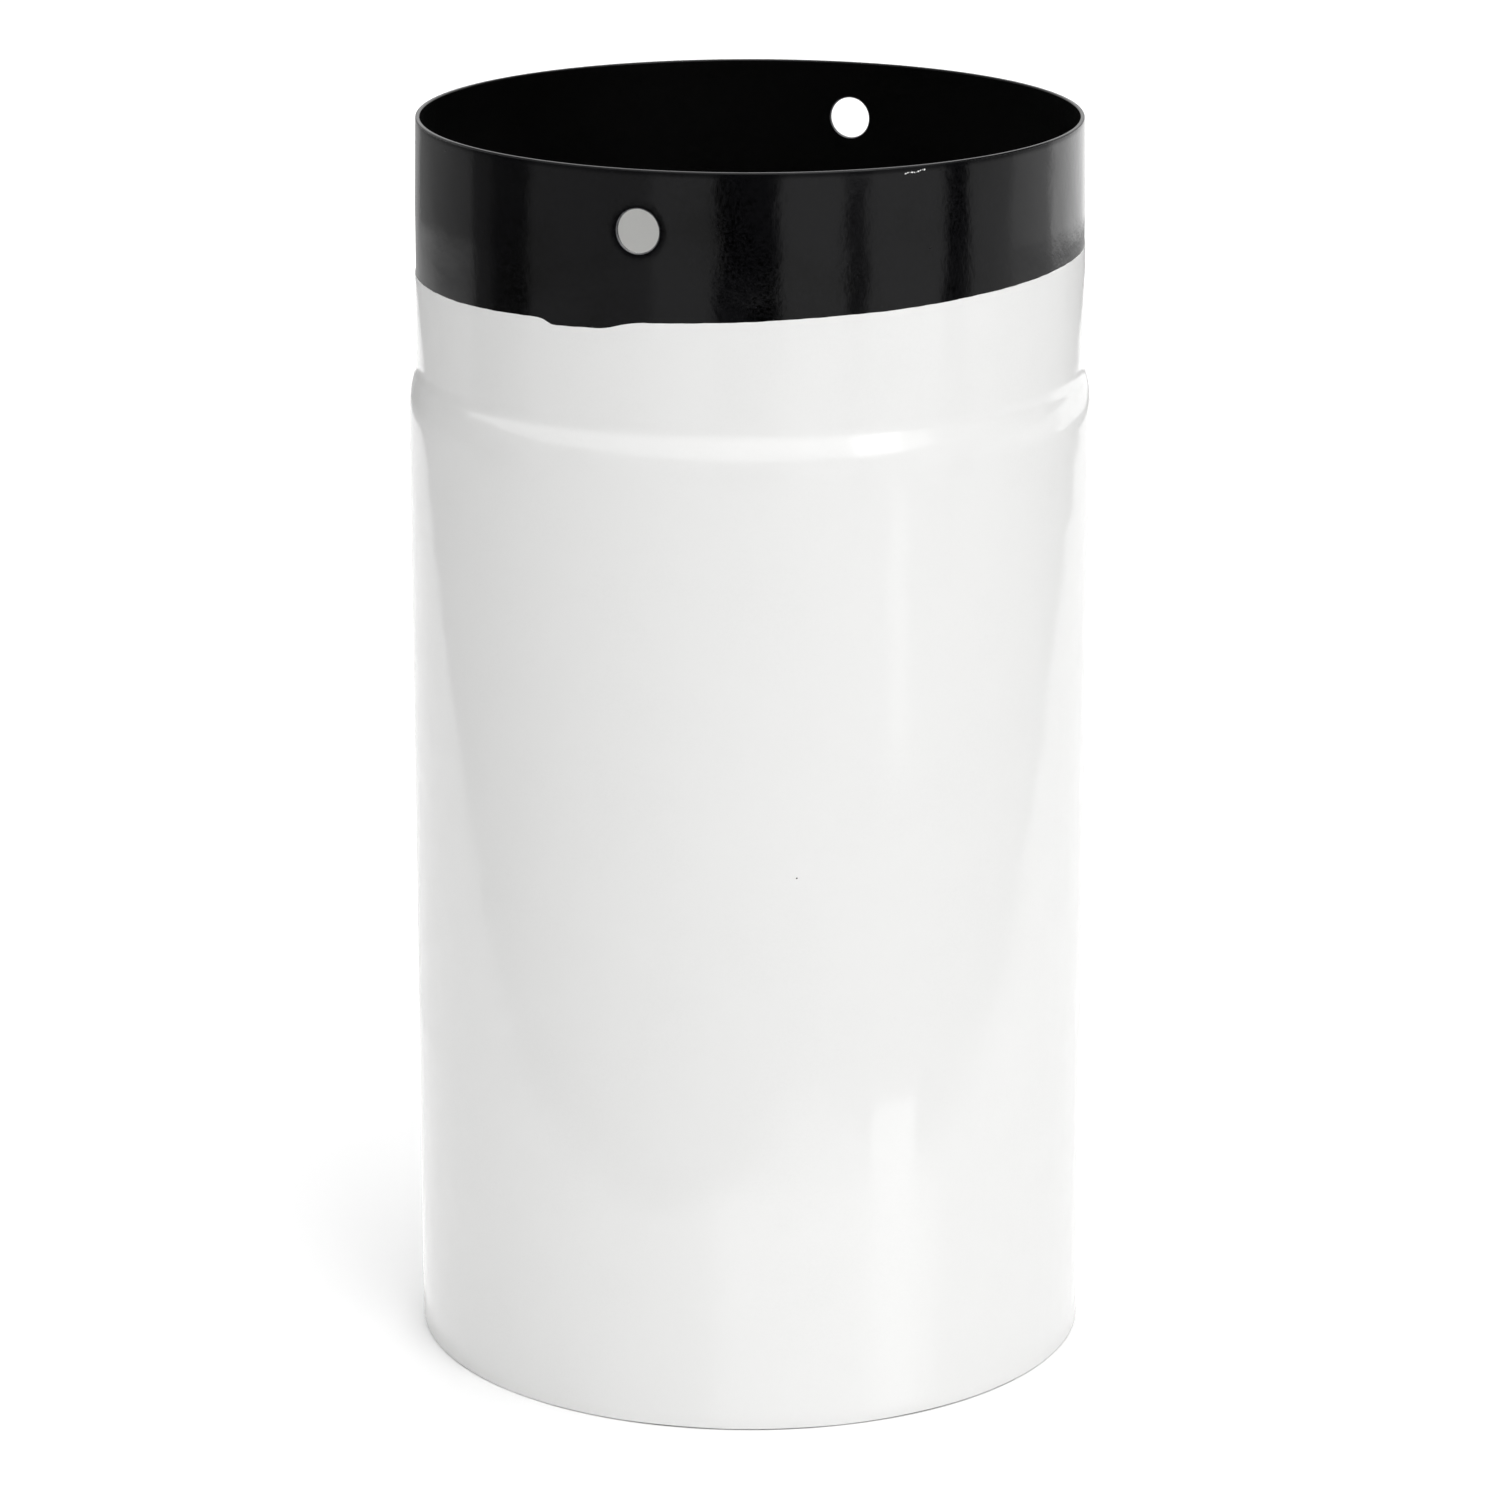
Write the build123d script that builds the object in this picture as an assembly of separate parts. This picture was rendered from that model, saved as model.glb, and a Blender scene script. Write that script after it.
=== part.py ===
from build123d import *
import os
from math import atan, atan2, cos, radians, sin, tan

# A length of vitreous-enamelled sheet-steel stove pipe, standing on its wide end.
# Units are millimetres. The pipe's axis is +Z, and the origin is the centre of the
# socket rim that it stands on. The two hanging holes face -Y and +Y, and the weld
# seam faces -X. Angles round the pipe are counted from +X towards +Y, in degrees.

# Overall sizes
PIPE_HEIGHT = 248.0  # over the enamel of both rims
BODY_DIAMETER = 133.8  # outside of the bare steel, below the neck

# Sheet and enamel
SHEET = 0.6
GROUND_COAT = 0.15  # black enamel, fused to the steel inside and outside
COVER_COAT = 0.2  # white enamel, fused on top of the ground coat
RIM_COAT = 0.3  # black enamel over the cut edge of the sheet, at each end
RIM_COAT_ROUNDING = 0.22

# Spigot, the necked end that goes up into the next pipe's socket
SPIGOT_CLEARANCE = 0.35  # radial, between the coated spigot and a coated socket
SPIGOT_LENGTH = 48.0  # from the end of the neck to the rim
NECK_LENGTH = 10.1
NECK_HOLLOW_SHARE = 0.3  # of the neck's length, bent outwards again under the spigot
LEAD_IN_LENGTH = 18.0  # tapered end of the spigot
LEAD_IN_TAPER = 0.33  # radial

# Hanging holes, one pair through the spigot
HOLE_DIAMETER = 8.3  # inside its enamel
HOLE_COAT = 0.2
HOLE_DEPTH = 11.5  # from the spigot's rim to the holes' centre

# Weld
SEAM_WIDTH = 2.0

# Cover coat: the pipe hangs a little out of true as it is dipped
DIP_DEPTH = 27.8  # from the spigot's rim to the dip line, on the axis
DIP_RISE = 2.9  # the dip line's height above that, at its highest, at the spigot wall
DIP_HEADING = 19.5  # direction in which the dip line rises
COVER_SETBACK = 0.03  # above the rounding of the socket rim, wiped clean of cover coat

# Worked out from the sizes above
body_radius = BODY_DIAMETER / 2
coats = GROUND_COAT + COVER_COAT
neck_step = SHEET + 2 * coats + SPIGOT_CLEARANCE
spigot_radius = body_radius - neck_step

sheet_bottom = RIM_COAT
sheet_top = PIPE_HEIGHT - RIM_COAT
neck_top = PIPE_HEIGHT - SPIGOT_LENGTH
neck_bottom = neck_top - NECK_LENGTH
lead_in_bottom = PIPE_HEIGHT - LEAD_IN_LENGTH
hole_height = PIPE_HEIGHT - HOLE_DEPTH
cover_bottom = RIM_COAT_ROUNDING + COVER_SETBACK
dip_height = PIPE_HEIGHT - DIP_DEPTH

neck_turn = 2 * atan2(neck_step, NECK_LENGTH)  # each bend's angle
bends = NECK_LENGTH / sin(neck_turn)  # the two bends' radii, added up
hollow_radius = NECK_HOLLOW_SHARE * bends
shoulder_radius = bends - hollow_radius
lead_in_angle = atan(LEAD_IN_TAPER / LEAD_IN_LENGTH)

# Offsets of each layer's skins from the outside of the bare steel, outwards positive
STEEL = (-SHEET, 0)
OUTER_GROUND = (0, GROUND_COAT)
INNER_GROUND = (-SHEET - GROUND_COAT, -SHEET)
OUTER_COVER = (GROUND_COAT, coats)
INNER_COVER = (-SHEET - coats, -SHEET - GROUND_COAT)
GROUNDED_WALL = (-SHEET - GROUND_COAT, GROUND_COAT)


def spigot_wall_radius(offset, height):
    """Radius of the tapered lead-in, at a height, for a skin at this offset."""
    taper = (height - lead_in_bottom) * tan(lead_in_angle)
    return spigot_radius + offset / cos(lead_in_angle) - taper


def skin(offset, low, high):
    """The pipe's outline at an offset from the steel, from bottom to top."""
    body = body_radius + offset
    spigot = spigot_radius + offset
    shoulder = shoulder_radius + offset
    hollow = hollow_radius - offset
    half, full = neck_turn / 2, neck_turn

    foot = (body, low)
    bend_start = (body, neck_bottom)
    shoulder_x = body_radius - shoulder_radius
    on_shoulder = (shoulder_x + shoulder * cos(half), neck_bottom + shoulder * sin(half))
    between_bends = (shoulder_x + shoulder * cos(full), neck_bottom + shoulder * sin(full))
    hollow_x = spigot_radius + hollow_radius
    in_hollow = (hollow_x - hollow * cos(half), neck_top - hollow * sin(half))
    bend_end = (spigot, neck_top)
    lead_in = (spigot, lead_in_bottom + offset * tan(lead_in_angle / 2))
    rim = (spigot_wall_radius(offset, high), high)
    return [
        Line(foot, bend_start),
        ThreePointArc(bend_start, on_shoulder, between_bends),
        ThreePointArc(between_bends, in_hollow, bend_end),
        Line(bend_end, lead_in),
        Line(lead_in, rim),
    ]


def spun(outline):
    """A solid of revolution from a closed outline of edges, radius against height."""
    return revolve(Plane.XZ * make_face(outline), axis=Axis.Z)


def layer(offsets, low, high):
    """One layer of the pipe's wall, all round and from end to end."""
    inside, outside = (skin(offset, low, high) for offset in offsets)
    ends = [Line(inside[0] @ 0, outside[0] @ 0), Line(inside[-1] @ 1, outside[-1] @ 1)]
    return spun(inside + outside + ends)


def along_y(diameter):
    """A rod through both walls of the spigot, on the hanging holes' axis."""
    rod = Cylinder(diameter / 2, 2 * BODY_DIAMETER, rotation=(90, 0, 0))
    return Pos(0, 0, hole_height) * rod


def below_dip_line(shell):
    """The part of a shell that the cover coat's slip reached."""
    rise = atan(DIP_RISE / spigot_radius)
    turned = Pos(0, 0, dip_height) * Rot(0, 0, DIP_HEADING) * Rot(0, -rise, 0)
    slip = Pos(0, 0, -PIPE_HEIGHT) * Box(2 * BODY_DIAMETER, 2 * BODY_DIAMETER, 2 * PIPE_HEIGHT)
    return shell & turned * slip


def seam_strip():
    """The straight strip of wall, facing -X, that the weld fills."""
    return Pos(-body_radius, 0, PIPE_HEIGHT / 2) * Box(body_radius, SEAM_WIDTH, 2 * PIPE_HEIGHT)


def steel_tube():
    """Rolled and necked sheet, with a gap for the weld and the two holes."""
    return layer(STEEL, sheet_bottom, sheet_top) - seam_strip() - drilling


def seam_weld():
    """Flush weld bead that closes the tube."""
    return layer(STEEL, sheet_bottom, sheet_top) & seam_strip()


def ground_coat(offsets):
    """Black enamel on one side of the sheet, between the two rims."""
    return layer(offsets, sheet_bottom, sheet_top) - drilling


def rim_coat(inner, outer, sheet_edge, rim):
    """Rounded ring of black enamel that wraps the sheet's cut edge."""
    middle = ((inner + outer) / 2, (sheet_edge + rim) / 2)
    section = Pos(*middle) * Rectangle(outer - inner, abs(rim - sheet_edge))
    corners = [corner for corner in section.vertices() if abs(corner.Y - rim) < RIM_COAT / 2]
    return revolve(Plane.XZ * fillet(corners, RIM_COAT_ROUNDING), axis=Axis.Z)


def spigot_rim_coat():
    inner, outer = (spigot_wall_radius(offset, sheet_top) for offset in GROUNDED_WALL)
    return rim_coat(inner, outer, sheet_top, PIPE_HEIGHT)


def socket_rim_coat():
    inner, outer = (body_radius + offset for offset in GROUNDED_WALL)
    return rim_coat(inner, outer, sheet_bottom, 0)


def hanging_hole_coats():
    """Black enamel on the edge of each hole, flush with the ground coats."""
    lining = along_y(HOLE_DIAMETER + 2 * HOLE_COAT) - along_y(HOLE_DIAMETER)
    return layer(GROUNDED_WALL, sheet_bottom, sheet_top) & lining


def cover_coat(offsets):
    """White enamel on one side, from just above the socket rim up to the dip line."""
    return below_dip_line(layer(offsets, cover_bottom, sheet_top))


drilling = along_y(HOLE_DIAMETER + 2 * HOLE_COAT)

nodes = {
    "steel_tube": steel_tube(),
    "seam_weld": seam_weld(),
    "ground_coat_outside": ground_coat(OUTER_GROUND),
    "ground_coat_inside": ground_coat(INNER_GROUND),
    "spigot_rim_coat": spigot_rim_coat(),
    "socket_rim_coat": socket_rim_coat(),
    "hanging_hole_coats": hanging_hole_coats(),
    "cover_coat_outside": cover_coat(OUTER_COVER),
    "cover_coat_inside": cover_coat(INNER_COVER),
}

os.makedirs("parts", exist_ok=True)
for name, shape in nodes.items():
    export_step(shape, f"parts/{name}.step")
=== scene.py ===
from math import atan2, cos, exp, pi, radians, sin

import bmesh
import bpy
from mathutils import Matrix, Vector


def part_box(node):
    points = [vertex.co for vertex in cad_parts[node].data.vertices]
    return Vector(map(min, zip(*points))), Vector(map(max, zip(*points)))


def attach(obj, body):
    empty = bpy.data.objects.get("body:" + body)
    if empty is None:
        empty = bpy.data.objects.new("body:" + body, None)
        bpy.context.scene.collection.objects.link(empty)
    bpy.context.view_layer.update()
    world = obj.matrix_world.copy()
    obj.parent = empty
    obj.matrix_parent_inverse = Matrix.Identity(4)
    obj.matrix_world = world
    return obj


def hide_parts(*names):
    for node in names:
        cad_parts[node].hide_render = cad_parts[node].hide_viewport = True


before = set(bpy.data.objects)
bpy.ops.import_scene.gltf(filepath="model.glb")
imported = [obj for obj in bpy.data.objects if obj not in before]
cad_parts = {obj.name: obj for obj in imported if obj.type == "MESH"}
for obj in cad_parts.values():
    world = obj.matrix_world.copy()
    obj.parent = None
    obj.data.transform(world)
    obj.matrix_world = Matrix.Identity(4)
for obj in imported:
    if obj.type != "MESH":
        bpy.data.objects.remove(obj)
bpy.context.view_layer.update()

bl_info = {
    "name": "Enamelled Stove Pipe",
    "version": (1, 0, 0),
    "blender": (4, 5, 0),
    "location": "3D View > Sidebar > Stove Pipe",
    "description": "A length of white-enamelled sheet-steel stove pipe with a black spigot",
    "category": "Object",
}

# The pipe stands on its socket rim, with its axis on +Z. Its hanging holes face -Y and
# +Y and its weld faces -X. An azimuth is counted round the pipe from -Y towards +X.
MM = 0.001
RING_STEPS = 384  # a multiple of 4, so that a column of the grid meets each hole's middle
HOLE_STEPS = 6  # columns of the grid that are opened to each side of a hole's middle
MERGE_DISTANCE = 0.002 * MM
WALL_THICKNESS = 0.9 * MM  # the sheet, with black enamel on both sides
HIDDEN_BACK = 0.95  # share of its thickness at which a black coat stops short of the steel
ROLL_CURVE = 1.6  # above 1, so that the enamel rolls in ever more steeply at a hole
DROP_RISE = 0.08 * MM  # how far a drop of enamel stands out of the wall

# Degrees of azimuth over which the notch in the dip line falls, and rises again
NOTCH_FALL = (-18.5, -15.5)
NOTCH_RISE = (-7, 0)

# Unevenness of the enamel. Real pits are finer, and wouldn't show.
CLOUD_WIDTH = 22 * MM
WAVE_WIDTH = 13 * MM
WAVE_HEIGHT = 0.2 * MM
PEEL_WIDTH = 1.6 * MM
PIT_WIDTH = 0.55 * MM

# Stage, in metres
FLOOR_RADIUS = 6
BACKDROP_RADIUS = 5.5
BACKDROP_HEIGHT = 6
ROOM_RADIUS = 1.3
SOFTBOX_SIZE = 0.9
SOFTBOX_DISTANCE = 1.5
SOFTBOX_HEIGHT = 1.1
SOFTBOX_AIM = 0.12


# Sizes that the frame gives


def outer_radius(node):
    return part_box(node)[1].x


body_radius = outer_radius("ground_coat_outside")
cover_thickness = outer_radius("cover_coat_outside") - body_radius
pipe_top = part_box("spigot_rim_coat")[1].z
rim_coat = pipe_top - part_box("spigot_rim_coat")[0].z
ground_bottom, ground_top = (corner.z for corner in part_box("ground_coat_outside"))
hole_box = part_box("hanging_hole_coats")
hole_height = (hole_box[0].z + hole_box[1].z) / 2
hole_edge = (hole_box[1].z - hole_box[0].z) / 2


class PipeSizes(bpy.types.PropertyGroup):
    """Sizes of the pipe's shape, and of the enamel's unevenness."""

    ground_thickness: bpy.props.FloatProperty(
        name="Ground coat", description="Thickness of the black enamel",
        default=0.15 * MM, unit="LENGTH", precision=5,
    )
    neck_step: bpy.props.FloatProperty(
        name="Neck step", description="How far the neck draws the wall in",
        default=1.65 * MM, unit="LENGTH", precision=5,
    )
    spigot_length: bpy.props.FloatProperty(
        name="Spigot", description="Length from the end of the neck to the rim",
        default=48 * MM, unit="LENGTH", precision=5,
    )
    neck_length: bpy.props.FloatProperty(
        name="Neck", description="Height of the neck",
        default=10.1 * MM, unit="LENGTH", precision=5,
    )
    hollow_share: bpy.props.FloatProperty(
        name="Hollow", description="Share of the neck that bends outwards again",
        default=0.3, min=0.05, max=0.95, subtype="FACTOR",
    )
    lead_in_length: bpy.props.FloatProperty(
        name="Lead-in", description="Length of the spigot's tapered end",
        default=18 * MM, unit="LENGTH", precision=5,
    )
    lead_in_taper: bpy.props.FloatProperty(
        name="Lead-in taper", description="How far the lead-in draws the wall in",
        default=0.33 * MM, unit="LENGTH", precision=5,
    )
    hole_coat: bpy.props.FloatProperty(
        name="Hole coat", description="Thickness of the enamel on a hole's edge",
        default=0.2 * MM, unit="LENGTH", precision=5,
    )
    hole_roll_width: bpy.props.FloatProperty(
        name="Rolled edge", description="Width of the enamel that rolls into a hole",
        default=1.7 * MM, unit="LENGTH", precision=5,
    )
    hole_roll_depth: bpy.props.FloatProperty(
        name="Rolled depth", description="How far the enamel rolls in at a hole's edge",
        default=0.125 * MM, unit="LENGTH", precision=5,
    )
    dip_depth: bpy.props.FloatProperty(
        name="Dip depth", description="From the spigot's rim to the white enamel, on the axis",
        default=27.8 * MM, unit="LENGTH", precision=5,
    )
    dip_rise: bpy.props.FloatProperty(
        name="Dip rise", description="Rise of the dip line from the axis to the wall",
        default=2.9 * MM, unit="LENGTH", precision=5,
    )
    dip_heading: bpy.props.FloatProperty(
        name="Dip heading", description="Azimuth towards which the dip line rises",
        default=radians(109.5), subtype="ANGLE",
    )
    sag_depth: bpy.props.FloatProperty(
        name="Sag", description="Depth of the notch where the white enamel drained off",
        default=1.15 * MM, unit="LENGTH", precision=5,
    )
    ripple: bpy.props.FloatProperty(
        name="Ripple", description="Height of the dip line's fine unevenness",
        default=0.12 * MM, unit="LENGTH", precision=5,
    )


def srgb(code):
    """Linear red, green and blue from an sRGB hex colour."""
    parts = [int(code[i:i + 2], 16) / 255 for i in (1, 3, 5)]
    return tuple(p / 12.92 if p <= 0.04045 else ((p + 0.055) / 1.055) ** 2.4 for p in parts)


def colour_property(name, description, code):
    return bpy.props.FloatVectorProperty(
        name=name, description=description, default=srgb(code), min=0, max=1, subtype="COLOR",
    )


class PipeColours(bpy.types.PropertyGroup):
    """Colours of the enamel, of the bare steel and of the floor."""

    white: colour_property("White", "White cover coat", "#efefee")
    # Greyer than the outside white: painted shade for the dim inside of the pipe
    white_bore: colour_property("White inside", "White cover coat inside the pipe", "#dededc")
    black: colour_property("Black", "Black ground coat", "#050506")
    black_bore: colour_property("Black inside", "Black ground coat inside the pipe", "#020202")
    black_rim: colour_property("Black rims", "Ground coat drawn thin over an edge", "#131314")
    # Lighter than the black: a thin coat, with painted highlight for the light that the holes' edges
    # catch
    black_edge: colour_property("Hole edges", "Ground coat thin on the holes' edges", "#4c4c4e")
    steel: colour_property("Steel", "Pickled cold-rolled steel", "#b0b0b2")
    weld: colour_property("Weld", "Rolled butt weld", "#9c9c9f")
    floor: colour_property("Floor", "Pale floor", "#fdfdfd")


class StageSettings(bpy.types.PropertyGroup):
    """Camera, light and floor."""

    camera_azimuth: bpy.props.FloatProperty(
        name="Camera azimuth", description="Round the pipe, from the front hole",
        default=radians(18.6), subtype="ANGLE",
    )
    camera_distance: bpy.props.FloatProperty(
        name="Camera distance", description="From the pipe's axis, on the level",
        default=1.1, unit="LENGTH",
    )
    camera_height: bpy.props.FloatProperty(
        name="Camera height", description="Above the floor", default=0.437, unit="LENGTH",
    )
    aim_height: bpy.props.FloatProperty(
        name="Aim height", description="Where the camera looks at the pipe's axis",
        default=0.1189, unit="LENGTH",
    )
    lens: bpy.props.FloatProperty(
        name="Lens", description="Focal length in millimetres, on a 36 mm sensor",
        default=136.8, min=10,
    )
    sky: bpy.props.FloatProperty(
        name="Room light", description="Strength of the even light all round", default=0.02, min=0,
    )
    top_light: bpy.props.FloatProperty(
        name="Top light", description="Strength of the even light from overhead",
        default=1.7, min=0,
    )
    front_light: bpy.props.FloatProperty(
        name="Front light", description="Strength of the even light that leans in from the right",
        default=1.38, min=0,
    )
    key_light: bpy.props.FloatProperty(
        name="Key light", description="Power of the softbox right of the camera, in watts",
        default=7.9, min=0,
    )
    back_light: bpy.props.FloatProperty(
        name="Back light", description="Power of the softbox behind the pipe, in watts",
        default=7, min=0,
    )
    room_gloss: bpy.props.FloatProperty(
        name="Room in reflections", description="Brightness of the room that the enamel mirrors",
        default=0.46, min=0,
    )


# The pipe's outline


def sizes():
    return bpy.context.scene.pipe_sizes


def spigot_radius():
    return body_radius - sizes().neck_step


def wall_radius(height, offset=0.0):
    """Radius of the spigot's black outside at a height, or of a skin offset from it."""
    size = sizes()
    above = max(0.0, height - (pipe_top - size.lead_in_length))
    return spigot_radius() + offset - above * size.lead_in_taper / size.lead_in_length


def extend(bm, corner, target, parts=1):
    """A straight run of edges, in equal parts, from a vertex to a new one."""
    start = corner.co.copy()
    for part in range(1, parts + 1):
        corner = bmesh.ops.extrude_vert_indiv(bm, verts=[corner])["verts"][0]
        corner.co = start.lerp(Vector(target), part / parts)
    return corner


def bend(bm, corner, centre, angle, parts):
    """An arc of edges from a vertex, round a centre in the outline's plane."""
    made = bmesh.ops.spin(
        bm, geom=[corner], cent=centre, axis=(0, -1, 0), angle=angle, steps=parts,
    )
    return next(part for part in made["geom_last"] if isinstance(part, bmesh.types.BMVert))


def draw_outline(bm, offset, bottom, stops):
    """The wall's outline at an offset from its black outside, up to the last stop.

    Each stop is a height on the spigot and the number of parts that the run up to it has.
    """
    size = sizes()
    neck_top = pipe_top - size.spigot_length
    neck_bottom = neck_top - size.neck_length
    turn = 2 * atan2(size.neck_step, size.neck_length)
    both = size.neck_length / sin(turn)
    hollow = size.hollow_share * both
    shoulder = both - hollow
    foot = bm.verts.new((body_radius + offset, 0, bottom))
    bend_start = extend(bm, foot, (body_radius + offset, 0, neck_bottom), parts=24)
    bend_middle = bend(bm, bend_start, (body_radius - shoulder, 0, neck_bottom), turn, 16)
    end = bend(bm, bend_middle, (spigot_radius() + hollow, 0, neck_top), -turn, 12)
    for height, parts in stops:
        end = extend(bm, end, (wall_radius(height, offset), 0, height), parts)


def lathe(bm):
    """Turns what is drawn in the mesh a quarter round the axis, and mirrors it twice."""
    bmesh.ops.spin(
        bm, geom=bm.verts[:] + bm.edges[:], cent=(0, 0, 0), axis=(0, 0, 1),
        angle=pi / 2, steps=RING_STEPS // 4,
    )
    for axis in ("X", "Y"):
        bmesh.ops.mirror(
            bm, geom=bm.verts[:] + bm.edges[:] + bm.faces[:], merge_dist=MERGE_DISTANCE,
            axis=axis,
        )


def azimuth_of(place):
    return atan2(place.x, -place.y)


def face_wall(bm, outwards):
    """Points the faces of an open skin away from the pipe's axis, or towards it."""
    bmesh.ops.recalc_face_normals(bm, faces=bm.faces[:])
    face = max(bm.faces, key=lambda one: one.calc_area())
    middle = face.calc_center_median()
    points_out = face.normal.x * middle.x + face.normal.y * middle.y > 0
    if points_out != outwards:
        bmesh.ops.reverse_faces(bm, faces=bm.faces[:])


def make_piece(name, bm, material, slot, *nodes):
    """A finished piece that rides on the pipe and stands for CAD nodes."""
    mesh = bpy.data.meshes.new(name)
    bm.to_mesh(mesh)
    bm.free()
    mesh.shade_smooth()
    mesh.materials.append(material)
    piece = bpy.data.objects.new(name, mesh)
    bpy.context.scene.collection.objects.link(piece)
    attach(piece, "root")
    if nodes:
        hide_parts(*nodes)
    return piece


def give_thickness(piece, thickness, rounding):
    """Thickens a skin away from its face, and rounds the edges of the enamel."""
    solid = piece.modifiers.new("Thickness", "SOLIDIFY")
    solid.thickness = thickness
    solid.offset = -1
    edge = piece.modifiers.new("Rounded edges", "BEVEL")
    edge.width = rounding
    edge.segments = 3
    edge.limit_method = "ANGLE"
    edge.angle_limit = radians(50)
    edge.harden_normals = True


# Holes


def ease(value, start, end):
    """Rises smoothly from 0 to 1 as the value goes from start to end."""
    share = min(1.0, max(0.0, (value - start) / (end - start)))
    return share * share * (3 - 2 * share)


def on_wall(across, height, depth, offset, side):
    """A point on the spigot's wall, from its place across a hole's middle.

    Side is 1 for the hole that faces -Y and -1 for the one that faces +Y.
    """
    radius = wall_radius(height, offset) - depth
    angle = across / spigot_radius()
    return Vector((side * radius * sin(angle), -side * radius * cos(angle), height))


def from_hole(place, side):
    """How far a place on the wall is across and above a hole's middle."""
    return azimuth_of(place * side) * spigot_radius(), place.z - hole_height


def column_width():
    """Width of a column of the grid on the spigot, and of a row by the holes."""
    return 2 * pi * spigot_radius() / RING_STEPS


def cut_hole(bm, offset, rolled, side):
    """Opens a round hole in a skin's grid, with a plain or a rolled-in edge."""
    size = sizes()
    block = (HOLE_STEPS + 0.25) * column_width()  # ends between two columns' middles
    inside = []
    for face in bm.faces:
        middle = face.calc_center_median()
        if abs(middle.z - hole_height) < block and abs(middle.x) < block:
            if -side * middle.y > 0:
                inside.append(face)
    bmesh.ops.delete(bm, geom=inside, context="FACES")
    near_rim = 1.1 * block
    rim = []
    for edge in bm.edges:
        middle = (edge.verts[0].co + edge.verts[1].co) / 2
        near = abs(middle.z - hole_height) < near_rim and abs(middle.x) < near_rim
        if edge.is_boundary and near and -side * middle.y > 0:
            rim.append(edge)
    width = size.hole_roll_width
    # Rings round the hole, from the outermost in to its edge, as shares of the roll's width
    shares = (1.1, 1.0, 0.85, 0.7, 0.55, 0.45, 0.35, 0.25, 0.16, 0.08, 0.03, 0)
    for share in shares:
        made = bmesh.ops.extrude_edge_only(bm, edges=rim)["geom"]
        rim = [part for part in made if isinstance(part, bmesh.types.BMEdge)]
        for vert in (part for part in made if isinstance(part, bmesh.types.BMVert)):
            across, above = from_hole(vert.co, side)
            turn = atan2(above, across)
            radius = hole_edge + share * width
            depth = size.hole_roll_depth * max(0.0, 1 - share) ** ROLL_CURVE if rolled else 0
            height = hole_height + radius * sin(turn)
            vert.co = on_wall(radius * cos(turn), height, depth, offset, side)


def rounded_section(bm, low, high, rounding, rounded):
    """The edges of a rectangle in the outline's plane, with some corners rounded."""
    corners = [(low[0], low[1]), (high[0], low[1]), (high[0], high[1]), (low[0], high[1])]
    verts = [bm.verts.new((x, 0, z)) for x, z in corners]
    bm.faces.new(verts)
    bmesh.ops.bevel(
        bm, geom=[vert for vert in verts if rounded(vert.co)], offset=rounding,
        affect="VERTICES", segments=6, profile=0.5, material=-1,
    )
    bmesh.ops.delete(bm, geom=bm.faces[:], context="FACES_ONLY")


# Materials


def add_node(tree, kind, inputs=None, **settings):
    """A shader node with its settings, and its inputs set or linked."""
    node = tree.nodes.new(kind)
    for name, value in settings.items():
        setattr(node, name, value)
    for name, value in (inputs or {}).items():
        if isinstance(value, bpy.types.NodeSocket):
            tree.links.new(value, node.inputs[name])
        else:
            node.inputs[name].default_value = value
    return node


def blank_material(name):
    """A material without nodes, and its node tree."""
    material = bpy.data.materials.new(name)
    material.use_nodes = True
    material.node_tree.nodes.clear()
    return material, material.node_tree


def colours():
    return bpy.context.scene.pipe_colours


def rgba(colour, share=1.0):
    return (*(min(1.0, part * share) for part in colour), 1)


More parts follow.
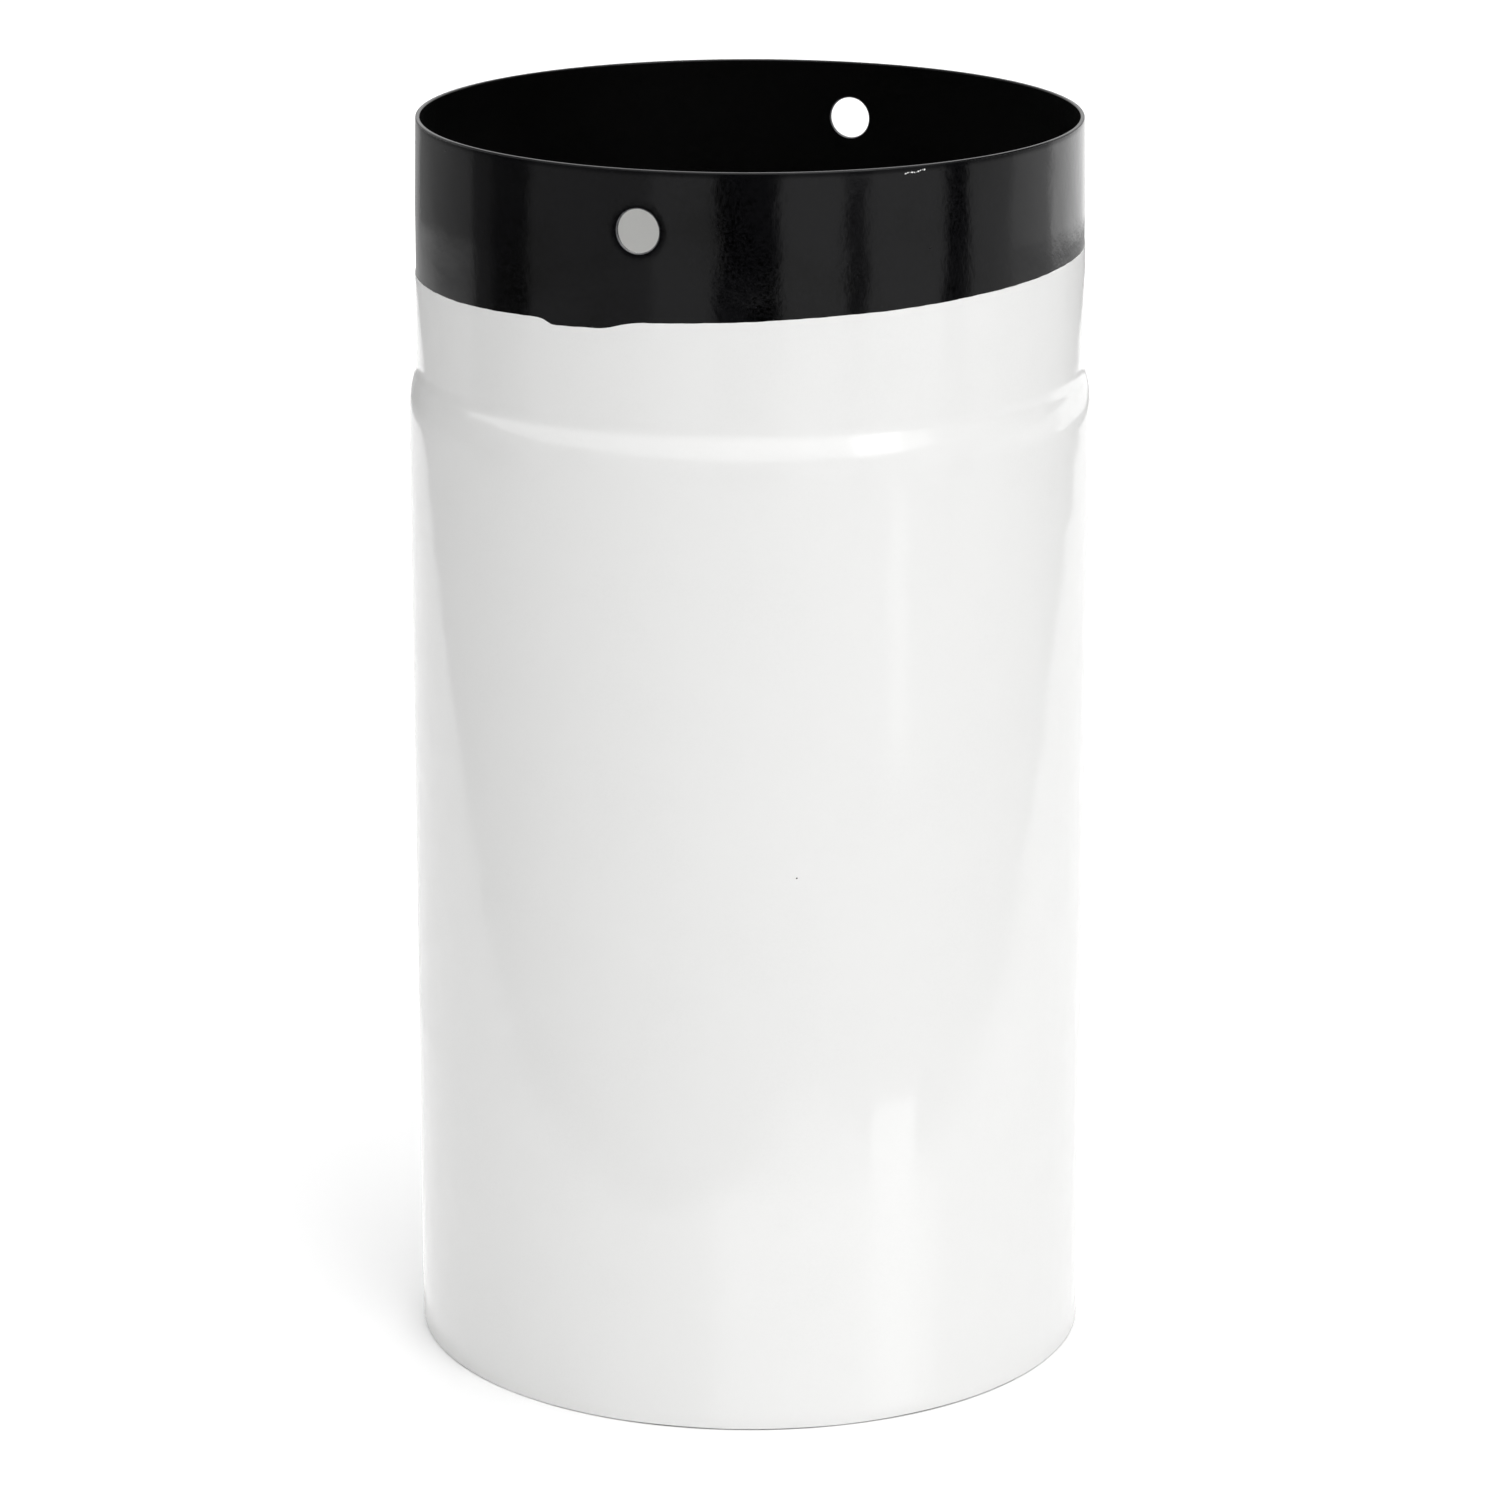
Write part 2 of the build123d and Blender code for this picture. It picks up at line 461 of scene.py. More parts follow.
def enamel(name, colour, roughness, peel_height, cloud, specular=0.5, dull_edges=False):
    """Vitreous enamel, dipped and fired: glass over steel.

    It is a smooth glass with a faint orange peel, long shallow waves from the rolled
    sheet below, fine pits that scatter its gloss, and clouds where the coat is thinner.
    The cloud is the share by which its tone varies.
    """
    material = bpy.data.materials.get(name)
    if material:
        return material
    material, tree = blank_material(name)
    place = add_node(tree, "ShaderNodeTexCoord").outputs["Object"]
    clouds = add_node(
        tree, "ShaderNodeTexNoise",
        {"Vector": place, "Scale": 1 / CLOUD_WIDTH, "Detail": 3, "Roughness": 0.6},
    )
    grain = add_node(
        tree, "ShaderNodeTexNoise",
        {"Vector": place, "Scale": 1 / PIT_WIDTH, "Detail": 2, "Roughness": 0.7},
    )
    both = add_node(
        tree, "ShaderNodeMath", {0: clouds.outputs["Fac"], 1: grain.outputs["Fac"]},
        operation="ADD",
    )
    tone = add_node(tree, "ShaderNodeValToRGB", {"Fac": both.outputs[0]})
    thin, thick = tone.color_ramp.elements
    thin.position, thick.position = 0.75, 1.25
    thin.color, thick.color = rgba(colour, 1 - cloud), rgba(colour, 1 + cloud)
    gloss = add_node(
        tree, "ShaderNodeMapRange",
        {"Value": grain.outputs["Fac"], "From Min": 0.3, "From Max": 0.7,
         "To Min": roughness * 0.8, "To Max": roughness * 1.25},
    )
    waves = add_node(
        tree, "ShaderNodeTexNoise",
        {"Vector": place, "Scale": 1 / WAVE_WIDTH, "Detail": 1, "Roughness": 0.4},
    )
    waved = add_node(
        tree, "ShaderNodeBump",
        {"Height": waves.outputs["Fac"], "Distance": WAVE_HEIGHT, "Strength": 1.0},
    )
    peel = add_node(
        tree, "ShaderNodeTexNoise",
        {"Vector": place, "Scale": 1 / PEEL_WIDTH, "Detail": 2, "Roughness": 0.5},
    )
    peeled = add_node(
        tree, "ShaderNodeBump",
        {"Height": peel.outputs["Fac"], "Distance": peel_height, "Strength": 1.0,
         "Normal": waved.outputs["Normal"]},
    )
    pitted = add_node(
        tree, "ShaderNodeBump",
        {"Height": grain.outputs["Fac"], "Distance": peel_height / 2, "Strength": 1.0,
         "Normal": peeled.outputs["Normal"]},
    )
    if dull_edges:
        specular = duller_at_edges(tree, place, specular)
    shader = add_node(
        tree, "ShaderNodeBsdfPrincipled",
        {"Base Color": tone.outputs["Color"], "Roughness": gloss.outputs[0], "IOR": 1.52,
         "Specular IOR Level": specular, "Normal": pitted.outputs["Normal"]},
    )
    add_node(tree, "ShaderNodeOutputMaterial", {"Surface": shader.outputs[0]})
    return material


def duller_at_edges(tree, place, specular):
    """Gloss that fades by the holes and the rim, where the thin edge of the coat burned."""
    fade_width = 1.7 * MM
    rim_fade = (pipe_top - 1.4 * MM, pipe_top - 0.5 * MM)
    across = add_node(
        tree, "ShaderNodeVectorMath", {0: place, 1: (1, 0, 1)}, operation="MULTIPLY",
    )
    apart = add_node(
        tree, "ShaderNodeVectorMath", {0: across.outputs[0], 1: (0, 0, hole_height)},
        operation="DISTANCE",
    )
    faded = add_node(
        tree, "ShaderNodeMapRange",
        {"Value": apart.outputs["Value"], "From Min": hole_edge,
         "From Max": hole_edge + fade_width, "To Min": 0.05 * specular, "To Max": specular},
        interpolation_type="SMOOTHSTEP",
    )
    upward = add_node(tree, "ShaderNodeSeparateXYZ", {"Vector": place})
    rim = add_node(
        tree, "ShaderNodeMapRange",
        {"Value": upward.outputs["Z"], "From Min": rim_fade[0], "From Max": rim_fade[1],
         "To Min": 1.0, "To Max": 0.35},
        interpolation_type="SMOOTHSTEP",
    )
    both = add_node(
        tree, "ShaderNodeMath", {0: faded.outputs[0], 1: rim.outputs[0]}, operation="MULTIPLY",
    )
    return both.outputs[0]


def white_enamel():
    """White cover coat outside, fired smooth and glossy."""
    return enamel(
        "white_vitreous_enamel_fired", colours().white,
        roughness=0.1, peel_height=0.004 * MM, cloud=0.006,
    )


def white_bore_enamel():
    """White cover coat inside, less glossy, and greyer than the outside white as painted shade for
    the dim inside of the pipe.
    """
    return enamel(
        "white_vitreous_enamel_bore", colours().white_bore,
        roughness=0.16, peel_height=0.004 * MM, cloud=0.006,
    )


def black_enamel():
    """Black ground coat outside, glossy, with dull borders at the holes and the rim."""
    return enamel(
        "black_vitreous_enamel_fired", colours().black,
        roughness=0.12, peel_height=0.02 * MM, cloud=1.0, dull_edges=True,
    )


def black_bore_enamel():
    """Black ground coat inside, nearly matt."""
    return enamel(
        "black_vitreous_enamel_bore", colours().black_bore,
        roughness=0.4, peel_height=0.01 * MM, cloud=0.9, specular=0.04,
    )


def black_rim_enamel():
    """Black enamel drawn thin over the rims, and in the drops on the black."""
    return enamel(
        "black_vitreous_enamel_rim", colours().black_rim,
        roughness=0.12, peel_height=0.01 * MM, cloud=0.5, specular=0.17,
    )


def black_lining_enamel():
    """Enamel on the holes' edges: the ground coat is thin there, and its dark grey is made lighter
    still as a painted highlight where the edges catch the light.
    """
    return enamel(
        "black_vitreous_enamel_hole", colours().black_edge,
        roughness=0.2, peel_height=0.01 * MM, cloud=0.5, specular=0.7,
    )


def steel(name, colour, roughness, line):
    """Cold-rolled steel: a grey metal with fine rolling lines along the sheet."""
    material, tree = blank_material(name)
    place = add_node(tree, "ShaderNodeTexCoord").outputs["Object"]
    stretched = add_node(
        tree, "ShaderNodeMapping", {"Vector": place, "Scale": (1, 1, 0.04)},
    )
    lines = add_node(
        tree, "ShaderNodeTexNoise",
        {"Vector": stretched.outputs[0], "Scale": 1 / line, "Detail": 4, "Roughness": 0.6},
    )
    gloss = add_node(
        tree, "ShaderNodeMapRange",
        {"Value": lines.outputs["Fac"], "To Min": roughness * 0.8, "To Max": roughness * 1.2},
    )
    bump = add_node(
        tree, "ShaderNodeBump",
        {"Height": lines.outputs["Fac"], "Distance": 0.002 * MM, "Strength": 1.0},
    )
    shader = add_node(
        tree, "ShaderNodeBsdfPrincipled",
        {"Base Color": rgba(colour), "Metallic": 1.0, "Roughness": gloss.outputs[0],
         "Normal": bump.outputs["Normal"]},
    )
    add_node(tree, "ShaderNodeOutputMaterial", {"Surface": shader.outputs[0]})
    return material


# Where the white enamel ends


def dip_line(size, azimuth, sag, phase):
    """Height of the white enamel's edge: a tilted plane, a drained notch and ripples."""
    degrees = azimuth * 180 / pi
    plane = pipe_top - size.dip_depth + size.dip_rise * cos(azimuth - size.dip_heading)
    notch = ease(degrees, *NOTCH_FALL) * (1 - ease(degrees, *NOTCH_RISE))
    ripple = sin(5 * azimuth + phase) + 0.6 * sin(13 * azimuth + 2 * phase)
    ripple += 0.3 * sin(31 * azimuth + 3 * phase)
    ragged = 0.3 * sin(67 * azimuth) + 0.3 * sin(104 * azimuth + phase)
    highest = 1.9  # the first three waves added up
    return plane - sag * notch + size.ripple * (ripple + ragged) / highest


def foot_line(azimuth):
    """Height of the white enamel's lower edge, which was wiped a little unevenly."""
    wave = sin(2 * azimuth + 0.3) + 0.5 * sin(7 * azimuth + 1.0) + 0.4 * sin(17 * azimuth)
    return (0.16 + 0.05 * wave) * MM


def cover_skin(bm, offset, sag, phase):
    """White enamel's skin, with its edges moved to where the enamel ends."""
    size = sizes()
    level = pipe_top - size.dip_depth
    still = pipe_top - size.spigot_length + 4 * MM  # nothing moves between this and the foot
    draw_outline(bm, offset, ground_bottom, [(still, 4), (level, 12)])
    lathe(bm)
    for vert in bm.verts:
        azimuth = azimuth_of(vert.co)
        if vert.co.z > still:
            share = (vert.co.z - still) / (level - still)
            vert.co.z = still + share * (dip_line(size, azimuth, sag, phase) - still)
        elif vert.co.z < ground_bottom + 0.01 * MM:
            vert.co.z = foot_line(azimuth)


def ground_skin(bm, offset, rolled):
    """Black enamel's skin, from rim to rim, with both hanging holes."""
    block = HOLE_STEPS * column_width()
    lead_in = pipe_top - sizes().lead_in_length
    below, above = hole_height - block, hole_height + block
    stops = [
        (below - 6 * MM, 8),
        (min(lead_in, below - MM), 4),
        (below, 1),
        (above, 2 * HOLE_STEPS),
        (ground_top, 5),
    ]
    draw_outline(bm, offset, ground_bottom, stops)
    lathe(bm)
    for side in (1, -1):
        cut_hole(bm, offset, rolled, side)


# Operators, one for each piece or group of like pieces


class PIPE_OT_ground_coats(bpy.types.Operator):
    """Make the black enamel that covers the steel inside and outside"""

    bl_idname = "pipe.ground_coats"
    bl_label = "Ground Coats"

    def execute(self, context):
        thickness = sizes().ground_thickness * HIDDEN_BACK
        bm = bmesh.new()
        ground_skin(bm, 0, rolled=True)
        face_wall(bm, outwards=True)
        piece = make_piece(
            "black_ground_coat_outside", bm, black_enamel(), "black_enamel", "ground_coat_outside",
        )
        give_thickness(piece, thickness, 0.02 * MM)
        bm = bmesh.new()
        ground_skin(bm, -WALL_THICKNESS, rolled=False)
        face_wall(bm, outwards=False)
        piece = make_piece(
            "black_ground_coat_inside", bm, black_bore_enamel(), "black_enamel_bore",
            "ground_coat_inside",
        )
        give_thickness(piece, thickness, 0.02 * MM)
        return {"FINISHED"}


class PIPE_OT_rim_beads(bpy.types.Operator):
    """Make the rounded beads of black enamel on the pipe's two rims"""

    bl_idname = "pipe.rim_beads"
    bl_label = "Rim Beads"

    def execute(self, context):
        rounding = 0.27 * MM
        ends = (
            ("spigot_rim_bead", "spigot_rim_coat", wall_radius(ground_top), ground_top, pipe_top),
            ("socket_rim_bead", "socket_rim_coat", body_radius, 0, rim_coat),
        )
        for name, node, outside, low, high in ends:
            bm = bmesh.new()
            free = high if low > 0 else low  # the end away from the sheet is rounded
            rounded_section(
                bm, (outside - WALL_THICKNESS, low), (outside, high), rounding,
                lambda place: abs(place.z - free) < 0.01 * MM,
            )
            lathe(bm)
            bmesh.ops.recalc_face_normals(bm, faces=bm.faces[:])
            make_piece(name, bm, black_rim_enamel(), "black_enamel_rim", node)
        return {"FINISHED"}


class PIPE_OT_hole_linings(bpy.types.Operator):
    """Make the black enamel that lines the two hanging holes"""

    bl_idname = "pipe.hole_linings"
    bl_label = "Hole Linings"

    def execute(self, context):
        size = sizes()
        rounding = 0.17 * MM
        low = (hole_edge - size.hole_coat, -WALL_THICKNESS)
        high = (hole_edge + 0.02 * MM, -size.hole_roll_depth)  # into the coats, for no gap
        for name, side in (("hole_lining_front", 1), ("hole_lining_back", -1)):
            bm = bmesh.new()
            rounded_section(bm, low, high, rounding, lambda place: place.x < hole_edge)
            bmesh.ops.spin(
                bm, geom=bm.verts[:] + bm.edges[:], cent=(0, 0, 0), axis=(0, 0, 1),
                angle=2 * pi, steps=8 * HOLE_STEPS, use_merge=True,
            )
            bmesh.ops.remove_doubles(bm, verts=bm.verts[:], dist=MERGE_DISTANCE)
            for vert in bm.verts:
                across, above, out = vert.co
                vert.co = on_wall(across, hole_height + above, -out, 0, side)
            bmesh.ops.recalc_face_normals(bm, faces=bm.faces[:])
            if bm.calc_volume(signed=True) < 0:
                bmesh.ops.reverse_faces(bm, faces=bm.faces[:])
            # The holes' edges take the grey that carries a painted highlight
            enamel_edge = black_lining_enamel()
            make_piece(name, bm, enamel_edge, "black_enamel_rim", "hanging_hole_coats")
        return {"FINISHED"}


class PIPE_OT_cover_coats(bpy.types.Operator):
    """Make the white enamel that was dipped over the black, inside and outside"""

    bl_idname = "pipe.cover_coats"
    bl_label = "Cover Coats"

    def execute(self, context):
        rounding = 0.08 * MM
        bm = bmesh.new()
        cover_skin(bm, cover_thickness, sizes().sag_depth, phase=0.4)
        face_wall(bm, outwards=True)
        piece = make_piece(
            "white_cover_coat_outside", bm, white_enamel(), "white_enamel", "cover_coat_outside",
        )
        give_thickness(piece, cover_thickness, rounding)
        bm = bmesh.new()
        cover_skin(bm, -WALL_THICKNESS - cover_thickness, 0, phase=2.1)
        face_wall(bm, outwards=False)
        piece = make_piece(
            "white_cover_coat_inside", bm, white_bore_enamel(), "white_enamel_bore",
            "cover_coat_inside",
        )
        give_thickness(piece, cover_thickness, rounding)
        return {"FINISHED"}


def add_drop(bm, azimuth, height, outside, width, rise):
    """A small flat drop of fired enamel on the wall."""
    drop = bmesh.ops.create_uvsphere(bm, u_segments=16, v_segments=10, radius=width / 2)["verts"]
    bmesh.ops.scale(bm, verts=drop, vec=(1, 2 * rise / width, 0.8))
    bmesh.ops.translate(bm, verts=drop, vec=(0, -outside, height))
    bmesh.ops.rotate(bm, verts=drop, cent=(0, 0, 0), matrix=Matrix.Rotation(azimuth, 3, "Z"))


class PIPE_OT_enamel_drops(bpy.types.Operator):
    """Make the small white drops below the rim, and the drops and specks that dipping and firing left
    in the enamel
    """

    bl_idname = "pipe.enamel_drops"
    bl_label = "Enamel Drops"

    def execute(self, context):
        # A short, slightly rising row of small white drops below the rim, uneven in height and width
        splashes = 10
        row_azimuth = radians(46.6)
        row_length = 4 * MM
        bm = bmesh.new()
        for splash in range(splashes):
            along = splash / (splashes - 1) - 0.5
            azimuth = row_azimuth + along * row_length / spigot_radius()
            height = pipe_top - (1.15 - 0.35 * along + 0.12 * sin(5.3 * splash)) * MM
            width = (0.3 + 0.12 * sin(2.1 * splash + 1)) * MM
            add_drop(bm, azimuth, height, wall_radius(height), width, DROP_RISE)
        make_piece("white_flecks_on_spigot", bm, white_enamel(), "white_enamel")
        # Azimuth in degrees, depth below the rim and width in millimetres
        drops = ((-43.9, 2.0, 0.45), (49.5, 15.8, 0.6))
        bm = bmesh.new()
        for degrees, depth, width in drops:
            height = pipe_top - depth * MM
            add_drop(bm, radians(degrees), height, wall_radius(height), width * MM, DROP_RISE)
        make_piece("black_drops_on_spigot", bm, black_rim_enamel(), "black_enamel_rim")
        bm = bmesh.new()
        sunk = body_radius + cover_thickness - 0.02 * MM
        add_drop(bm, radians(26.2), 112.8 * MM, sunk, width=0.45 * MM, rise=0.03 * MM)
        make_piece("black_speck_in_white", bm, black_enamel(), "black_enamel")
        return {"FINISHED"}


class PIPE_OT_bare_metal(bpy.types.Operator):
    """Give the steel tube and its weld their metals, under the enamel"""

    bl_idname = "pipe.bare_metal"
    bl_label = "Steel and Weld"

    def execute(self, context):
        metals = {
            "steel_tube": steel(
                "cold_rolled_steel_pickled", colours().steel, roughness=0.38, line=0.4 * MM,
            ),
            "seam_weld": steel(
                "mild_steel_weld_rolled", colours().weld, roughness=0.45, line=0.7 * MM,
            ),
        }
        for node, metal in metals.items():
            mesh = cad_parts[node].data
            mesh.materials.clear()
            mesh.materials.append(metal)
        return {"FINISHED"}


class PIPE_OT_stage(bpy.types.Operator):
    """Make the floor, the soft lights and the camera"""

    bl_idname = "pipe.stage"
    bl_label = "Stage"

    def execute(self, context):
        scene = context.scene
        stage = scene.pipe_stage
        scene.view_settings.view_transform = "Standard"
        make_floor()
        make_backdrop()
        make_reflected_room(stage)
        make_room_light(scene)
        make_wide_light("top_light", stage, stage.top_light, from_camera=0, lean=0)
        make_wide_light("front_light", stage, stage.front_light, from_camera=27, lean=0.35)
        make_softbox("key_softbox", stage, stage.key_light, from_camera=30)
        make_softbox("back_softbox", stage, stage.back_light, from_camera=180)
        make_camera(scene)
        return {"FINISHED"}


def make_floor():
    """A pale matt floor, far larger than the view."""
    bm = bmesh.new()
    bmesh.ops.create_circle(bm, cap_ends=True, radius=FLOOR_RADIUS, segments=96)
    mesh = bpy.data.meshes.new("pale_floor")
    bm.to_mesh(mesh)
    bm.free()
    material, tree = blank_material("matt_white_paper")
    shader = add_node(
        tree, "ShaderNodeBsdfPrincipled",
        {"Base Color": rgba(colours().floor), "Roughness": 0.9, "Specular IOR Level": 0.1},
    )
    add_node(tree, "ShaderNodeOutputMaterial", {"Surface": shader.outputs[0]})
    mesh.materials.append(material)
    floor = bpy.data.objects.new("pale_floor", mesh)
    bpy.context.scene.collection.objects.link(floor)


def glow(name, brightness):
    """A plain even glow, for what only the camera or the enamel's gloss sees."""
    material, tree = blank_material(name)
    light = add_node(
        tree, "ShaderNodeEmission", {"Color": (1, 1, 1, 1), "Strength": brightness},
    )
    add_node(tree, "ShaderNodeOutputMaterial", {"Surface": light.outputs[0]})
    return material


def stage_object(name, bm, material, camera=False, gloss=False):
    """Part of the stage that only the camera, or only glossy reflections, can see."""
    mesh = bpy.data.meshes.new(name)
    bm.to_mesh(mesh)
    bm.free()
    mesh.materials.append(material)
    made = bpy.data.objects.new(name, mesh)
    bpy.context.scene.collection.objects.link(made)
    made.visible_camera = camera
    made.visible_glossy = gloss
    made.visible_diffuse = False
    made.visible_transmission = False
    made.visible_volume_scatter = False
    made.visible_shadow = False


def make_backdrop():
    """A white wall far behind, for the camera alone."""
    bm = bmesh.new()
    bmesh.ops.create_circle(bm, radius=BACKDROP_RADIUS, segments=96)
    made = bmesh.ops.extrude_edge_only(bm, edges=bm.edges[:])["geom"]
    raised = [part for part in made if isinstance(part, bmesh.types.BMVert)]
    bmesh.ops.translate(bm, verts=raised, vec=(0, 0, BACKDROP_HEIGHT))
    bmesh.ops.create_circle(
        bm, cap_ends=True, radius=BACKDROP_RADIUS, segments=96,
        matrix=Matrix.Translation((0, 0, BACKDROP_HEIGHT)),
    )
    stage_object("white_backdrop", bm, glow("white_backdrop_glow", 1.0), camera=True)


def room_wall(name, stage, start, end, radius, low, high, brightness):
    """An upright strip of the room between two azimuths, counted from the camera's."""
    bm = bmesh.new()
    turn = stage.camera_azimuth + radians(start)
    foot = bm.verts.new((radius * sin(turn), -radius * cos(turn), low))
    extend(bm, foot, (foot.co.x, foot.co.y, high))
    bmesh.ops.spin(
        bm, geom=bm.verts[:] + bm.edges[:], cent=(0, 0, 0), axis=(0, 0, 1),
        angle=radians(end - start), steps=max(4, int(end - start) // 3),
    )
    stage_object(name, bm, glow(name + "_glow", brightness), gloss=True)


def make_reflected_room(stage):
    """What the enamel mirrors: a dim room, darker and brighter strips, and a pale table."""
    gloss = stage.room_gloss
    # Each strip's start and end in degrees, its radius and its two heights in metres, and
    # its brightness
    strips = (
        ("room_wall", -180, 180, ROOM_RADIUS, 0, 0.22, gloss),
        ("room_wall_above", -180, 180, ROOM_RADIUS, 0.22, 0.9, 0.2 * gloss),
        ("dim_wall_far_left", -155, -106, 1.2, 0, 0.2, 0.55 * gloss),
        ("dim_wall_left", -78, -32, 0.9, 0, 0.2, 0.48 * gloss),
        ("dim_wall_mid", -32, -11, 0.9, 0, 0.2, 0.8 * gloss),
        ("dark_strip_by_camera", -11, 10, 0.88, 0, 0.3, 0.0),
        ("dim_strip_right", 31, 38.5, 0.9, 0, 0.15, 0.12 * gloss),
        ("dark_strip_right", 67, 76.5, 0.9, 0, 0.3, 0.0),
        ("dark_strip_left", -106, -95, 0.9, 0, 0.3, 0.1),
        ("darkest_strip_left", -95, -78, 0.9, 0, 0.3, 0.03),
        ("white_wall_front", -125, 62, 1.25, 0.36, 0.8, 1.5),
        ("bright_window", 34, 50, 1.2, 0.36, 0.75, 3.6),
        ("white_wall_behind", 120, 240, 1.25, 0.36, 0.9, 0.9),
        ("pale_wall_right", 98, 122, 1.2, 0, 0.22, 0.7),
        ("white_wall_right", 122, 170, 1.2, 0, 0.22, 1.3),
        ("bright_table_strip", 44, 51, 0.5, 0, 0.09, 1.2),
    )
    for name, start, end, radius, low, high, brightness in strips:
        room_wall(name, stage, start, end, radius, low, high, brightness)
    reflected_ground("room_floor", stage, ROOM_RADIUS, 0.9, 0.5 * MM, gloss)
    reflected_ground("pale_table", stage, 0.07, 0.0, 0.8 * MM, 1.2)
    table_patch("bright_table_front", stage, -6, 34, length=0.13, brightness=1.75)
    table_patch("bright_table_streak", stage, 21, 29.5, length=0.18, brightness=2.3)


def table_patch(name, stage, start, end, length, brightness):
    """A brighter part of the table, which the pipe mirrors as an upright band.

    The band lies between two azimuths on the pipe, counted from the camera's. Light that
    reaches the camera from there comes from twice that azimuth.
    """
    bm = bmesh.new()
    pipe_side = 0.069  # just outside the pipe
    height = (1 + 0.2 * brightness) * MM  # the brighter patch lies on top
    steps = 8
    for step in range(steps + 1):
        turn = radians(start + (end - start) * step / steps)
        near = stage.camera_azimuth + turn
        far = near + turn
        corner = bm.verts.new((pipe_side * sin(near), -pipe_side * cos(near), height))
        reach = (corner.co.x + length * sin(far), corner.co.y - length * cos(far), height)
        extend(bm, corner, reach)
    sides = bm.edges[:]
    for side, beside in zip(sides, sides[1:]):
        bmesh.ops.bridge_loops(bm, edges=[side, beside])
    stage_object(name, bm, glow(name + "_glow", brightness), gloss=True)


def reflected_ground(name, stage, rim, behind, height, brightness):
    """A flat ring between a round rim and the edge of a table, at a small height.

    Behind is how much farther the table reaches behind the pipe than in front of it.
    """
    bm = bmesh.new()
    bmesh.ops.create_circle(bm, radius=rim, segments=180)
    made = bmesh.ops.extrude_edge_only(bm, edges=bm.edges[:])["geom"]
    for vert in (part for part in made if isinstance(part, bmesh.types.BMVert)):
        azimuth = azimuth_of(vert.co)
        from_camera = (azimuth - stage.camera_azimuth) * 180 / pi
        reach = table_edge((from_camera + 180) % 360 - 180, behind)
        vert.co = (reach * sin(azimuth), -reach * cos(azimuth), 0)
    bmesh.ops.translate(bm, verts=bm.verts[:], vec=(0, 0, height))
    stage_object(name, bm, glow(name + "_glow", brightness), gloss=True)


def table_edge(degrees, behind):
    """How far the pale table reaches from the pipe, at an azimuth from the camera's."""
    front_reach = 0.21
    away = (1 - cos(radians(degrees))) / 2
    jut = 0.05 * exp(-(((degrees - 20) / 14) ** 2))
    notch = 0.03 * exp(-(((degrees + 27) / 20) ** 2))
    return front_reach + behind * away ** 3 + jut - notch


def make_room_light(scene):
    """A faint even light from all round."""
    world = bpy.data.worlds.new("pale_room")
    world.use_nodes = True
    tree = world.node_tree
    tree.nodes.clear()
    light = add_node(
        tree, "ShaderNodeBackground", {"Color": (1, 1, 1, 1), "Strength": scene.pipe_stage.sky},
    )
    add_node(tree, "ShaderNodeOutputWorld", {"Surface": light.outputs[0]})
    scene.world = world


def make_wide_light(name, stage, strength, from_camera, lean):
    """A very wide, even light from overhead, which leans in from one side.

    That side's azimuth is counted from the camera's. The lean is how far the light travels
    sideways for each metre down.
    """
    data = bpy.data.lights.new(name, "SUN")
    data.energy = strength
    data.angle = radians(80)
    light = bpy.data.objects.new(name, data)
    turn = stage.camera_azimuth + radians(from_camera)
    aim = Vector((-lean * sin(turn), lean * cos(turn), -1))
    light.rotation_euler = aim.to_track_quat("-Z", "Y").to_euler()
    bpy.context.scene.collection.objects.link(light)


def make_softbox(name, stage, power, from_camera):
    """A square softbox above the camera's level, at an azimuth from the camera's."""
    data = bpy.data.lights.new(name, "AREA")
    data.shape = "SQUARE"
    data.size = SOFTBOX_SIZE
    data.energy = power
    light = bpy.data.objects.new(name, data)
    turn = stage.camera_azimuth + radians(from_camera)
    away = SOFTBOX_DISTANCE
    light.location = (away * sin(turn), -away * cos(turn), SOFTBOX_HEIGHT)
    aim = Vector((0, 0, SOFTBOX_AIM)) - light.location
    light.rotation_euler = aim.to_track_quat("-Z", "Y").to_euler()
    bpy.context.scene.collection.objects.link(light)


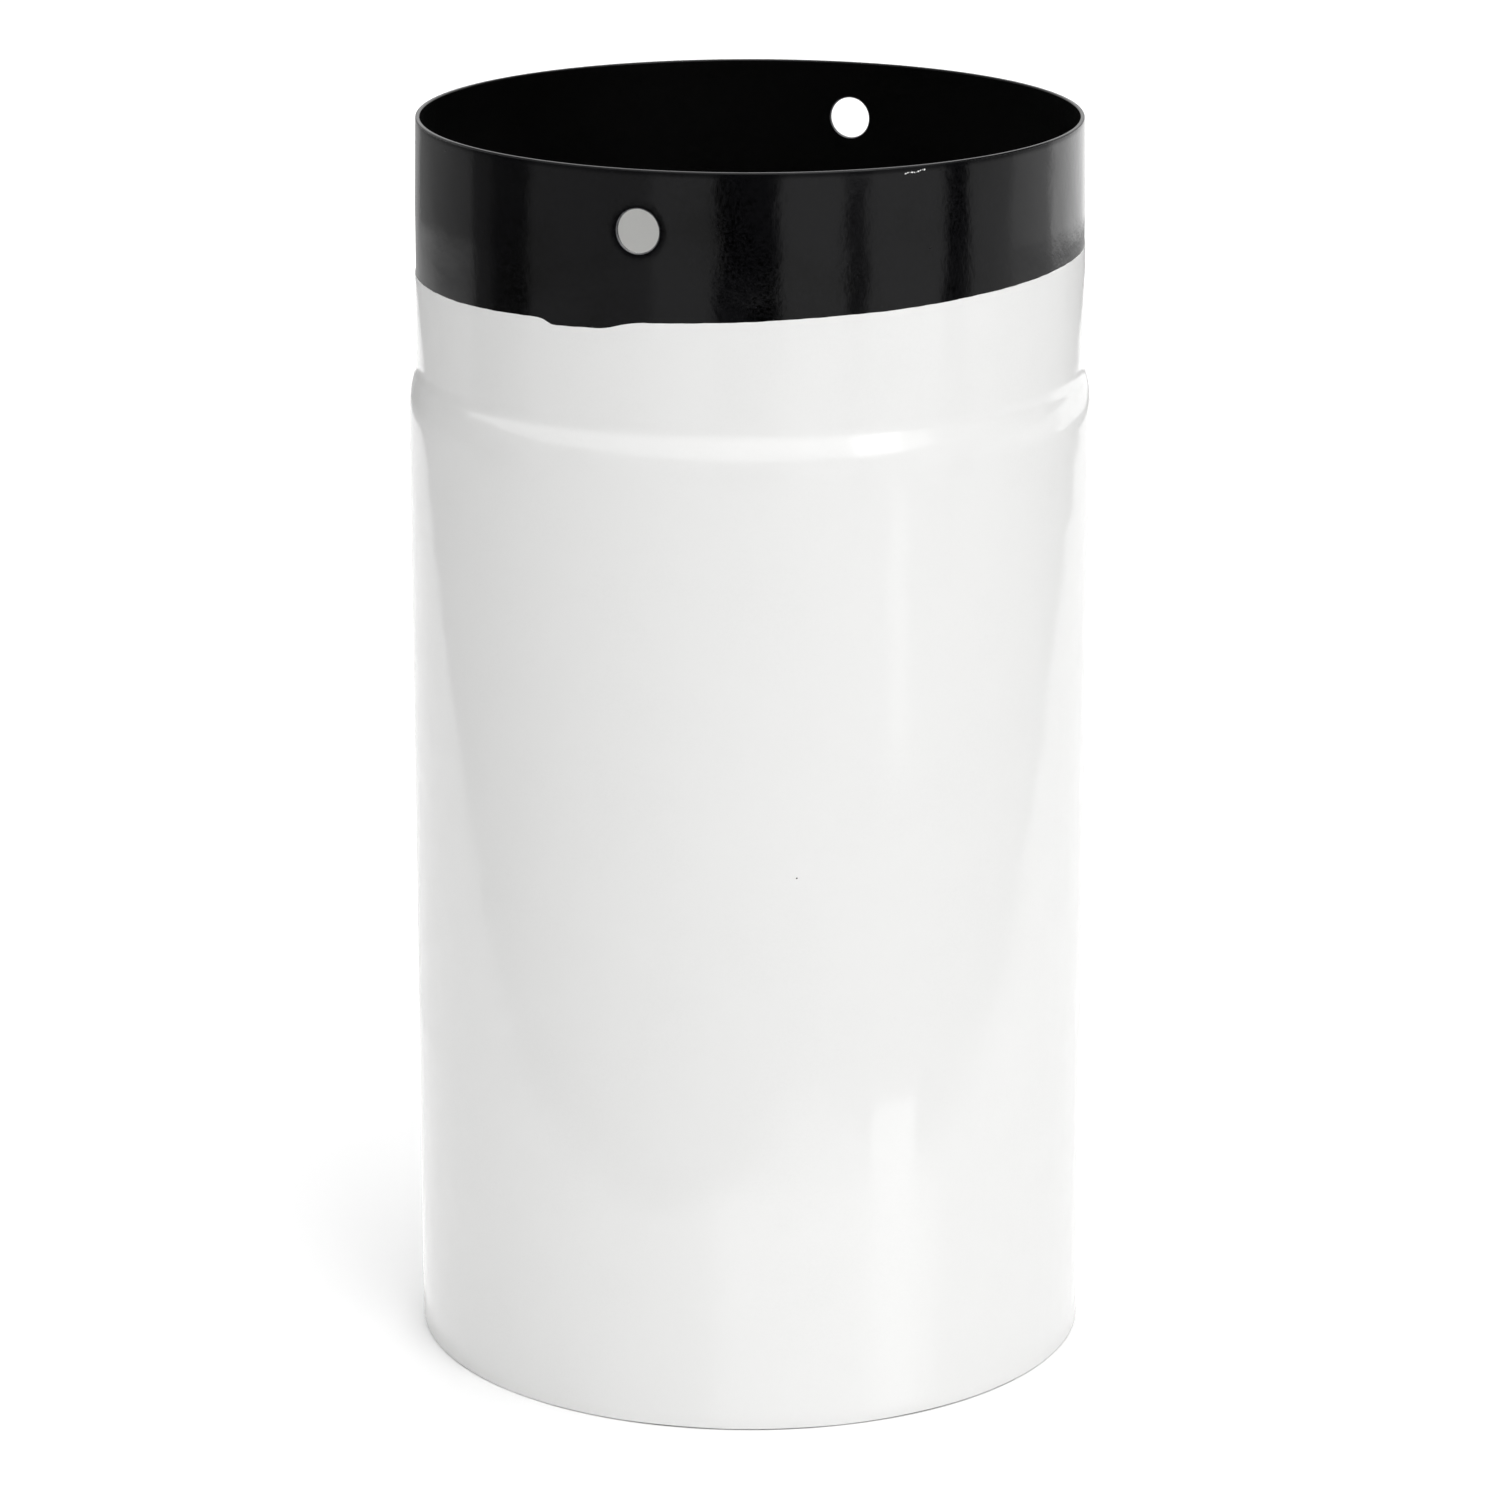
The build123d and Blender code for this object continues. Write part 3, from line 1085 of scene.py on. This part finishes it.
def make_camera(scene):
    """The camera, placed by the stage's settings and aimed at the pipe's axis."""
    stage = scene.pipe_stage
    data = bpy.data.cameras.new("camera")
    data.lens = stage.lens
    data.sensor_width = 36
    data.clip_start = 0.05
    data.clip_end = 50
    camera = bpy.data.objects.new("camera", data)
    turn = stage.camera_azimuth
    away = stage.camera_distance
    camera.location = (away * sin(turn), -away * cos(turn), stage.camera_height)
    target = Vector((0, 0, stage.aim_height))
    camera.rotation_euler = (target - camera.location).to_track_quat("-Z", "Y").to_euler()
    scene.collection.objects.link(camera)
    scene.camera = camera


class PIPE_PT_panel(bpy.types.Panel):
    """Lists the pipe's pieces in the order that they are made"""

    bl_idname = "PIPE_PT_panel"
    bl_label = "Enamelled Stove Pipe"
    bl_space_type = "VIEW_3D"
    bl_region_type = "UI"
    bl_category = "Stove Pipe"

    def draw(self, context):
        for operator in OPERATORS:
            self.layout.operator(operator.bl_idname)
        for group in (context.scene.pipe_sizes, context.scene.pipe_colours, context.scene.pipe_stage):
            box = self.layout.box()
            for name in group.__annotations__:
                box.prop(group, name)


OPERATORS = (
    PIPE_OT_ground_coats,
    PIPE_OT_rim_beads,
    PIPE_OT_hole_linings,
    PIPE_OT_cover_coats,
    PIPE_OT_enamel_drops,
    PIPE_OT_bare_metal,
    PIPE_OT_stage,
)
CLASSES = (PipeSizes, PipeColours, StageSettings, *OPERATORS, PIPE_PT_panel)


def register():
    for one in CLASSES:
        bpy.utils.register_class(one)
    bpy.types.Scene.pipe_sizes = bpy.props.PointerProperty(type=PipeSizes)
    bpy.types.Scene.pipe_colours = bpy.props.PointerProperty(type=PipeColours)
    bpy.types.Scene.pipe_stage = bpy.props.PointerProperty(type=StageSettings)


def unregister():
    del bpy.types.Scene.pipe_stage
    del bpy.types.Scene.pipe_colours
    del bpy.types.Scene.pipe_sizes
    for one in reversed(CLASSES):
        bpy.utils.unregister_class(one)


def main():
    register()
    bpy.ops.pipe.ground_coats()
    bpy.ops.pipe.rim_beads()
    bpy.ops.pipe.hole_linings()
    bpy.ops.pipe.cover_coats()
    bpy.ops.pipe.enamel_drops()
    bpy.ops.pipe.bare_metal()
    bpy.ops.pipe.stage()


if __name__ == "__main__":
    main()
